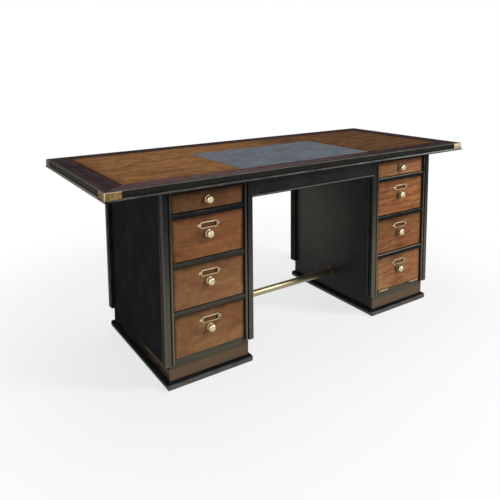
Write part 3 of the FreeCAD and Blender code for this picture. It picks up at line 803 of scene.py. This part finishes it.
def drawer_wood(name, node, seed):
    """Plain wood of a drawer, whose corners show a row of dovetails."""
    lining = settings().colours.lining
    wall = settings().sizes.box_wall
    low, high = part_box(node)
    centre, half = middle(node), reach(node)
    coat = Finish(name, specular=0.25)
    sides, backs = (wood_grain(coat, axis, seed, figure=0.7) for axis in "YX")
    from_end = coat.y.inside(half.y, centre.y)
    from_side = coat.x.inside(half.x, centre.x)
    outer = from_side.fade(0.9 * MM, 0.5 * MM)
    at_corner = from_end.fade(wall + 0.2 * MM, wall - 0.2 * MM) * outer
    at_back = (from_side.fade(wall - 0.1 * MM, wall + 0.1 * MM)
               * from_end.fade(wall + 0.1 * MM, wall - 0.1 * MM))

    # Dovetails, with their end grain and the lines of the joint
    pitch = (high.z - low.z) / max(2, round((high.z - low.z) / DOVETAIL_PITCH))
    wave = ((coat.z - low.z) % pitch).off(pitch / 2)
    splay = from_end * 0.25 + 0.2 * pitch
    end_grain = at_corner * (wave - splay).fade(0.3 * MM, -0.3 * MM)
    line = at_corner * wave.off(splay).fade(0.7 * MM, 0.2 * MM)
    shoulder = from_end.off(wall).fade(0.5 * MM, 0.15 * MM) * outer

    colour = most(end_grain, at_back).mix(waxed(sides), waxed(backs))
    colour = (end_grain * 0.45).mix(colour, toned(lining, 0.45))
    colour = (most(line, shoulder) * 0.7).mix(colour, toned(lining, 0.2))
    _, streak, pores, mottle = sides
    coat.relief(streak - pores, strength=0.10, depth=0.3 * MM)
    return coat.done(colour, mottle * 0.2 + 0.45)


# Modelling helpers


def deselect():
    if bpy.context.object and bpy.context.object.mode != "OBJECT":
        bpy.ops.object.mode_set(mode="OBJECT")
    bpy.ops.object.select_all(action="DESELECT")


def pick(*pieces):
    """Selects these pieces alone. The first is the active one."""
    deselect()
    for piece in pieces:
        piece.select_set(True)
    bpy.context.view_layer.objects.active = pieces[0]


def fix(piece):
    """Puts a piece's place, turn and size into its mesh."""
    pick(piece)
    bpy.ops.object.transform_apply(location=True, rotation=True, scale=True)


def joined(pieces):
    """Joins several pieces into the first one."""
    for piece in pieces:
        fix(piece)
    pick(*pieces)
    bpy.ops.object.join()
    return bpy.context.object


def copy_of(piece):
    pick(piece)
    bpy.ops.object.duplicate(linked=False)
    return bpy.context.object


def discard(piece):
    pick(piece)
    bpy.ops.object.delete()


def seated(model, place, out):
    """A copy of a model that was grown along +Z, set at a place so that it grows along another axis."""
    copy = copy_of(model)
    copy.rotation_mode = "QUATERNION"
    copy.rotation_quaternion = Vector(out).to_track_quat("Z", "Y")
    copy.location = place
    return copy


def settle(name, material, body, stands_for):
    """Names the active piece, fixes its place in its mesh, and lets it ride on its body for its CAD nodes."""
    piece = bpy.context.object
    fix(piece)
    piece.name = name
    piece.data.name = name
    piece.data.materials.clear()
    piece.data.materials.append(material)
    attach(piece, body)
    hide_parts(*stands_for)


def dress_fronts(model, names, kind, made, finish):
    """Sets a copy of a model on each named front, in place of its CAD node, and discards the model."""
    for name in names:
        centre = middle(name + kind)
        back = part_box(name + kind)[1].y
        seated(model, (centre.x, back, centre.z), TOWARDS_FRONT)
        settle(name + made, finish, name, [name + kind])
    discard(model)


def apply_modifier(kind, **values):
    modifier = bpy.context.object.modifiers.new(kind.title(), kind)
    for key, value in values.items():
        setattr(modifier, key, value)
    bpy.ops.object.modifier_apply(modifier=modifier.name)


def soften(width):
    """Rounds the active piece's sharp edges."""
    apply_modifier("BEVEL", width=width, segments=2, limit_method="ANGLE", angle_limit=SHARP_ANGLE)
    bpy.ops.object.shade_smooth_by_angle(angle=PRESSED_ANGLE)


def open_all():
    """Opens the active piece for editing, with all of it selected."""
    bpy.ops.object.mode_set(mode="EDIT")
    bpy.ops.mesh.select_all(action="SELECT")


def extrude(rise):
    bpy.ops.mesh.extrude_region_move(TRANSFORM_OT_translate={"value": (0, 0, rise)})


def face_outwards():
    """Turns the active piece's faces outwards."""
    open_all()
    bpy.ops.mesh.normals_make_consistent(inside=False)
    bpy.ops.object.mode_set(mode="OBJECT")


def turned(profile, segments):
    """A disc grown ring by ring along +Z, as on a lathe, from radii and heights in millimetres."""
    deselect()
    radius, height = profile[0]
    bpy.ops.mesh.primitive_circle_add(vertices=segments, radius=radius * MM, fill_type="NGON",
                                      location=(0, 0, height * MM))
    open_all()
    for next_radius, next_height in profile[1:]:
        extrude((next_height - height) * MM)
        share = next_radius / radius
        bpy.ops.transform.resize(value=(share, share, 1), center_override=(0, 0, next_height * MM))
        radius, height = next_radius, next_height
    face_outwards()
    bpy.ops.object.shade_smooth_by_angle(angle=TURNED_ANGLE)
    return bpy.context.object


def choose(kind, test):
    """Selects the active piece's edges or faces whose corners pass a test, and opens it for editing."""
    bpy.ops.object.mode_set(mode="EDIT")
    bpy.ops.mesh.select_mode(type=kind)
    bpy.ops.mesh.select_all(action="DESELECT")
    bpy.ops.object.mode_set(mode="OBJECT")
    mesh = bpy.context.object.data
    for item in mesh.edges if kind == "EDGE" else mesh.polygons:
        item.select = test([mesh.vertices[index].co for index in item.vertices])
    bpy.ops.object.mode_set(mode="EDIT")


def same(first, second):
    return math.isclose(first, second, abs_tol=1e-5)


def board(low, high):
    """A block between two corners."""
    deselect()
    bpy.ops.mesh.primitive_cube_add(size=1, location=(Vector(low) + Vector(high)) / 2)
    bpy.context.object.scale = Vector(high) - Vector(low)
    fix(bpy.context.object)


# Operators


class LayStage(bpy.types.Operator):
    """Set the camera, the soft studio lights and the pale floor"""

    bl_idname = "desk.lay_stage"
    bl_label = "Lay stage"

    def execute(self, context):
        stage = settings().stage
        self.set_camera(context, stage)
        self.light_world(context, stage)
        self.lay_floor(stage)
        for lamp in LAMPS:
            self.hang_lamp(context, *lamp)
        context.scene.view_settings.view_transform = "Standard"
        return {"FINISHED"}

    def set_camera(self, context, stage):
        lens = bpy.data.cameras.new("photo_camera")
        lens.sensor_width = SENSOR_WIDTH
        lens.sensor_fit = "HORIZONTAL"
        lens.lens = stage.lens
        lens.shift_y = stage.rise
        camera = bpy.data.objects.new("photo_camera", lens)
        turn, tilt, roll = (Matrix.Rotation(angle, 4, axis) for angle, axis in (
            (-stage.yaw, "Z"), (math.pi / 2 - stage.pitch, "X"), (stage.roll, "Z")))
        camera.matrix_world = Matrix.Translation(stage.eye) @ turn @ tilt @ roll
        context.scene.collection.objects.link(camera)
        context.scene.camera = camera

    def light_world(self, context, stage):
        """Even light that is dimmer than the white that is seen."""
        world = bpy.data.worlds.new("studio")
        world.use_nodes = True
        context.scene.world = world
        tree = world.node_tree
        level = add(tree, "ShaderNodeMapRange", {"Value": seen(tree), "To Min": stage.ambient, "To Max": 1.0})
        sky = tree.nodes["Background"]
        sky.inputs["Color"].default_value = (1, 1, 1, 1)
        tree.links.new(level.outputs["Result"], sky.inputs["Strength"])

    def lay_floor(self, stage):
        """A floor that keeps a soft shadow near the desk and turns plain white away from it."""
        deselect()
        bpy.ops.mesh.primitive_plane_add(size=FLOOR_WIDTH, location=(0, 0, -FLOOR_DROP))
        floor = bpy.context.object
        floor.name = "studio_floor"
        coat = Finish("pale_floor", specular=0.0)
        tree, shader = coat.tree, coat.shader
        shader.inputs["Base Color"].default_value = (*(stage.floor_tone,) * 3, 1.0)
        shader.inputs["Roughness"].default_value = FLOOR_ROUGHNESS
        away = distance(coat.x, coat.y).fade(*FLOOR_FADE)
        white = add(tree, "ShaderNodeEmission", {"Color": (1, 1, 1), "Strength": 1.0})
        faded = add(tree, "ShaderNodeMixShader", {
            0: (away * (1 - FLOOR_WHITE) + FLOOR_WHITE) * seen(tree),
            1: Value(shader.outputs["BSDF"]), 2: Value(white.outputs["Emission"])})
        output = next(node for node in tree.nodes if node.type == "OUTPUT_MATERIAL")
        tree.links.new(faded.outputs["Shader"], output.inputs["Surface"])
        floor.data.materials.append(coat.material)

    def hang_lamp(self, context, name, place, aim, width, watts):
        lamp = bpy.data.lights.new(name, "AREA")
        lamp.shape = "DISK"
        lamp.size = width
        lamp.energy = watts
        hung = bpy.data.objects.new(name, lamp)
        hung.location = place
        hung.rotation_euler = (Vector(aim) - Vector(place)).to_track_quat("-Z", "Y").to_euler()
        context.scene.collection.objects.link(hung)


class LacquerCarcase(bpy.types.Operator):
    """Lacquer the pedestals, aprons and moulded edge, worn where hands and feet wear them, with painted
    highlights, sheen, light and shade
    """

    bl_idname = "desk.lacquer_carcase"
    bl_label = "Lacquer carcase"

    def execute(self, context):
        colours = settings().colours
        outside = lacquer("lacquer_outside", "Z", panel_rub, wood=side_wood, haze_and_sheen=panel_upper_light, bright=0.06,
                          specular=0.0, depth=2.05, patches=0.55)
        inside = lacquer("lacquer_kneehole", "Z", panel_rub, haze_and_sheen=kneehole_sheen, bright=0.10, specular=0.10)
        posts = lacquer("lacquer_post", "Z", post_wear_and_highlight, haze_and_sheen=post_haze, shade_and_patina=post_quirk_shade, bright=0.75,
                        specular=0.05)
        rails = lacquer("lacquer_rail", "X", rail_wear_and_highlight, wood=low_wood, haze_and_sheen=rail_haze, bright=0.85,
                        specular=0.02, wear_and_highlight_colour=toned(colours.rub_and_highlight, 1.5))
        plinths = lacquer("lacquer_plinth", "X", plinth_rub, bright=1.0, specular=0.0, wear_and_highlight_colour=colours.scuff_and_highlight)
        for side in SIDES:
            coat_with(outside, side + "_outer_side", side + "_back")
            coat_with(inside, side + "_inner_side")
            coat_with(posts, side + "_corner_posts")
            coat_with(rails, side + "_cross_rails")
            coat_with(plinths, side + "_plinth")
        coat_with(lacquer("lacquer_apron", "X", apron_wear_and_highlight, bright=0.60, specular=0.08, wear_and_highlight_colour=colours.scuff_and_highlight),
                  "apron_front", "apron_back")
        coat_with(lacquer("lacquer_moulding", "X", moulding_wear_and_highlight, haze_and_sheen=moulding_haze, bright=1.0, specular=0.0,
                          wear_and_highlight_colour=toned(colours.scuff_and_highlight, 1.55)), "top_edge_moulding")
        coat_with(lacquer("lacquer_plain", "X"), "top_core")
        return {"FINISHED"}


class VeneerTop(bpy.types.Operator):
    """Veneer the field and the banded border of the top, and lay the leather"""

    bl_idname = "desk.veneer_top"
    bl_label = "Veneer top"

    def execute(self, context):
        coat_with(field_veneer(), "top_field_veneer")
        coat_with(border_veneer(), "top_border_veneer")
        coat_with(leather_finish(), "leather_inlay")
        return {"FINISHED"}


class VeneerFronts(bpy.types.Operator):
    """Veneer the drawer fronts and the flap, each from its own part of the flitch"""

    bl_idname = "desk.veneer_fronts"
    bl_label = "Veneer fronts"

    def execute(self, context):
        for number, (name, node) in enumerate(FRONTS.items()):
            coat_with(front_veneer(name, node, seed=1.0 + number * 1.9), node)
        return {"FINISHED"}


class BuildDrawers(bpy.types.Operator):
    """Build the drawer boxes, and wax them with their runners and bottom boards"""

    bl_idname = "desk.build_drawers"
    bl_label = "Build drawers"

    def execute(self, context):
        for number, name in enumerate(DRAWERS):
            node = name + "_box"
            self.build(node)
            wood = drawer_wood(name + "_lining", node, seed=2.0 + number)
            settle(name + "_tray", wood, name, [node])
        runner = runner_wood()
        for side in SIDES:
            coat_with(runner, side + "_drawer_runners", side + "_bottom_board")
        return {"FINISHED"}

    def build(self, node):
        sizes = settings().sizes
        low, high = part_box(node)
        board(low, high)
        choose("FACE", lambda corners: all(same(corner.z, high.z) for corner in corners))
        bpy.ops.mesh.inset(thickness=sizes.box_wall)
        extrude(low.z + sizes.box_bottom - high.z)
        choose("EDGE", lambda ends: all(same(end.z, high.z) for end in ends)
               and (same(ends[0].x, ends[1].x) or same(ends[0].y, ends[1].y)))
        bpy.ops.mesh.bevel(offset=sizes.box_edge, segments=3)
        bpy.ops.object.mode_set(mode="OBJECT")
        bpy.ops.object.shade_smooth_by_angle(angle=PRESSED_ANGLE)


class TurnKnobs(bpy.types.Operator):
    """Turn one brass knob with its rose, and seat a copy on every front"""

    bl_idname = "desk.turn_knobs"
    bl_label = "Turn knobs"

    PROFILE = ((15.4, 0.0), (15.4, 0.9), (15.0, 1.6), (13.4, 2.0), (12.9, 2.7), (12.0, 3.3), (8.4, 3.6),
               (7.4, 4.3), (6.9, 5.6), (7.1, 6.9), (8.2, 7.9), (10.6, 8.8), (13.2, 10.2), (14.9, 12.2),
               (15.4, 14.4), (15.1, 16.6), (14.0, 18.9), (12.4, 20.9), (10.9, 22.2), (10.2, 22.6),
               (9.5, 22.5), (9.0, 21.9), (8.4, 21.7), (5.0, 22.3), (2.0, 22.6), (0.6, 22.6))

    def execute(self, context):
        bright = toned(settings().colours.brass, 1.06, 1.09, 1.08)
        finish = brass("knob_brass", bright, roughness=0.2, spots=0.4, shade_and_patina=knob_shade_and_tarnish)
        knob = turned(self.PROFILE, settings().sizes.knob_segments)
        dress_fronts(knob, FRONTS, "_knob", "_turned_knob", finish)
        return {"FINISHED"}


class FrameLabels(bpy.types.Operator):
    """Make one label holder with screwed ears, and set a copy on every deep front"""

    bl_idname = "desk.frame_labels"
    bl_label = "Frame labels"

    SCREW = ((2.5, 0.0), (2.5, 0.35), (2.0, 0.75), (1.0, 0.95), (0.3, 1.0))

    def execute(self, context):
        dull = toned(settings().colours.brass, 0.95, 0.91, 0.86)
        finish = brass("holder_brass", dull, roughness=0.26, spots=0.5, shade_and_patina=holder_shade_and_tarnish)
        half = reach(LABELLED[0] + "_label_holder")
        holder = self.model(2 * half.x, 2 * half.y)
        dress_fronts(holder, LABELLED, "_label_holder", "_label_frame", finish)
        return {"FINISHED"}

    def model(self, length, thickness):
        """A rim that faces +Z, with an ear at each end."""
        sizes = settings().sizes
        deselect()
        bpy.ops.mesh.primitive_plane_add(size=1)
        rim = bpy.context.object
        rim.scale = (sizes.holder_length, sizes.holder_height, 1)
        fix(rim)
        open_all()
        bpy.ops.mesh.bevel(offset=sizes.holder_corner, segments=5, affect="VERTICES")
        open_all()
        bpy.ops.mesh.inset(thickness=sizes.holder_rim)
        bpy.ops.mesh.delete(type="FACE")
        open_all()
        extrude(thickness - RIM_CLEARANCE)
        face_outwards()
        soften(sizes.brass_edge)
        ear = self.ear()
        ears = [ear, copy_of(ear)]
        for piece, sign in zip(ears, (-1, 1)):
            piece.location.x = sign * (length / 2 - sizes.holder_ear)
        return joined([rim, *ears])

    def ear(self):
        """A round ear with its screw."""
        sizes = settings().sizes
        deselect()
        bpy.ops.mesh.primitive_cylinder_add(vertices=EAR_SEGMENTS, radius=sizes.holder_ear,
                                            depth=sizes.holder_ear_thickness,
                                            location=(0, 0, sizes.holder_ear_thickness / 2))
        plate = bpy.context.object
        soften(sizes.brass_edge)
        screw = turned(self.SCREW, SCREW_SEGMENTS)
        screw.location.z = sizes.holder_ear_thickness
        return joined([plate, screw])


class WrapCorners(bpy.types.Operator):
    """Bend one brass guard, copy it to the four corners of the top, and screw it on"""

    bl_idname = "desk.wrap_corners"
    bl_label = "Wrap corners"

    SCREW = ((2.9, 0.0), (2.9, 0.4), (2.3, 0.85), (1.2, 1.1), (0.3, 1.2))

    def execute(self, context):
        finish = guard_brass()
        guard = self.bend()
        guards = [guard, *(copy_of(guard) for _ in CORNERS[1:])]
        for piece, signs in zip(guards, CORNERS):
            piece.scale = (*signs, 1)
        joined(guards)
        face_outwards()
        settle("brass_corner_guards", finish, "desk", ["corner_guards"])
        self.screw()
        settle("guard_screw_heads", finish, "desk", ["guard_screws"])
        return {"FINISHED"}

    def bend(self):
        """A sheet round the front left corner, with its edges rounded."""
        sizes = settings().sizes
        low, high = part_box("corner_guards")
        inner = (low.x + sizes.guard_leg, low.y + sizes.guard_leg)
        board(low, (*inner, high.z))
        choose("EDGE", lambda ends: all(same(end.x, low.x) and same(end.y, low.y) for end in ends))
        bpy.ops.mesh.bevel(offset=sizes.guard_corner, segments=6)
        choose("FACE", lambda corners: any(
            all(same(corner[axis], edge) for corner in corners)
            for axis, edge in ((0, inner[0]), (1, inner[1]), (2, low.z), (2, high.z))))
        bpy.ops.mesh.delete(type="FACE")
        bpy.ops.object.mode_set(mode="OBJECT")
        apply_modifier("SOLIDIFY", thickness=sizes.guard_sheet - SHEET_CLEARANCE, offset=-1)
        soften(sizes.brass_edge / 2)
        return bpy.context.object

    def screw(self):
        """Two screw heads on each leg of each guard."""
        sizes = settings().sizes
        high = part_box("corner_guards")[1]
        height = middle("guard_screws").z
        head = turned(self.SCREW, SCREW_SEGMENTS)
        heads = []
        for inset in (sizes.guard_screw_inset + sizes.guard_sheet, sizes.guard_leg - sizes.guard_screw_inset):
            for right, back in CORNERS:
                on_side = (right * (high.x - inset), back * high.y, height)
                on_end = (right * high.x, back * (high.y - inset), height)
                heads += [seated(head, on_side, (0, back, 0)), seated(head, on_end, (right, 0, 0))]
        discard(head)
        joined(heads)


class HangFootRod(bpy.types.Operator):
    """Run the polished foot rod across the kneehole between two turned flanges"""

    bl_idname = "desk.hang_foot_rod"
    bl_label = "Hang foot rod"

    FLANGE = ((20.9, 0.0), (20.9, 0.8), (20.0, 1.5), (18.6, 1.8), (17.6, 2.4), (16.6, 2.9), (16.1, 2.9))

    def execute(self, context):
        colours = settings().colours
        sizes = settings().sizes
        low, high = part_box("foot_rod")
        centre, half = middle("foot_rod"), reach("foot_rod")
        deselect()
        bpy.ops.mesh.primitive_cylinder_add(vertices=ROD_SEGMENTS, radius=half.z, depth=2 * half.x,
                                            location=centre, rotation=(0, math.pi / 2, 0))
        soften(sizes.brass_edge)
        settle("polished_foot_rod", rod_brass(), "desk", ["foot_rod"])
        flange = turned(self.FLANGE, sizes.knob_segments)
        flanges = [seated(flange, (end, centre.y, centre.z), (out, 0, 0))
                   for end, out in ((low.x, 1), (high.x, -1))]
        discard(flange)
        joined(flanges)
        dark = brass("collar_brass", toned(colours.brass_tarnish, 0.3), roughness=0.34, spots=0.5,
                     tarnish=colours.lacquer)
        settle("foot_rod_collars", dark, "desk", ["foot_rod_flanges"])
        return {"FINISHED"}


class FinishHinges(bpy.types.Operator):
    """Finish the hinges of the flap"""

    bl_idname = "desk.finish_hinges"
    bl_label = "Finish hinges"

    def execute(self, context):
        finish = brass("hinge_brass", toned(settings().colours.brass, 0.5), roughness=0.38, spots=0.2)
        coat_with(finish, "flap_hinge_leaves", "sill_hinge_leaves", "hinge_pins")
        return {"FINISHED"}


class DeskPanel(bpy.types.Panel):
    """The desk's pieces, in the order in which they are made"""

    bl_idname = "DESK_PT_build"
    bl_label = "Captain's desk"
    bl_space_type = "VIEW_3D"
    bl_region_type = "UI"
    bl_category = "Desk"

    def draw(self, context):
        column = self.layout.column()
        for operator in OPERATORS:
            column.operator(operator.bl_idname)


OPERATORS = (LayStage, LacquerCarcase, VeneerTop, VeneerFronts, BuildDrawers, TurnKnobs, FrameLabels,
             WrapCorners, HangFootRod, FinishHinges)
CLASSES = (DeskColours, DeskSizes, StageSettings, DeskSettings, *OPERATORS, DeskPanel)


def register():
    for made in CLASSES:
        bpy.utils.register_class(made)
    bpy.types.Scene.captains_desk = group_of(DeskSettings, "Captain's desk",
                                             "Colours, sizes and stage of the desk")


def unregister():
    del bpy.types.Scene.captains_desk
    for made in reversed(CLASSES):
        bpy.utils.unregister_class(made)


def main():
    register()
    bpy.ops.desk.lay_stage()
    bpy.ops.desk.lacquer_carcase()
    bpy.ops.desk.veneer_top()
    bpy.ops.desk.veneer_fronts()
    bpy.ops.desk.build_drawers()
    bpy.ops.desk.turn_knobs()
    bpy.ops.desk.frame_labels()
    bpy.ops.desk.wrap_corners()
    bpy.ops.desk.hang_foot_rod()
    bpy.ops.desk.finish_hinges()


if __name__ == "__main__":
    main()
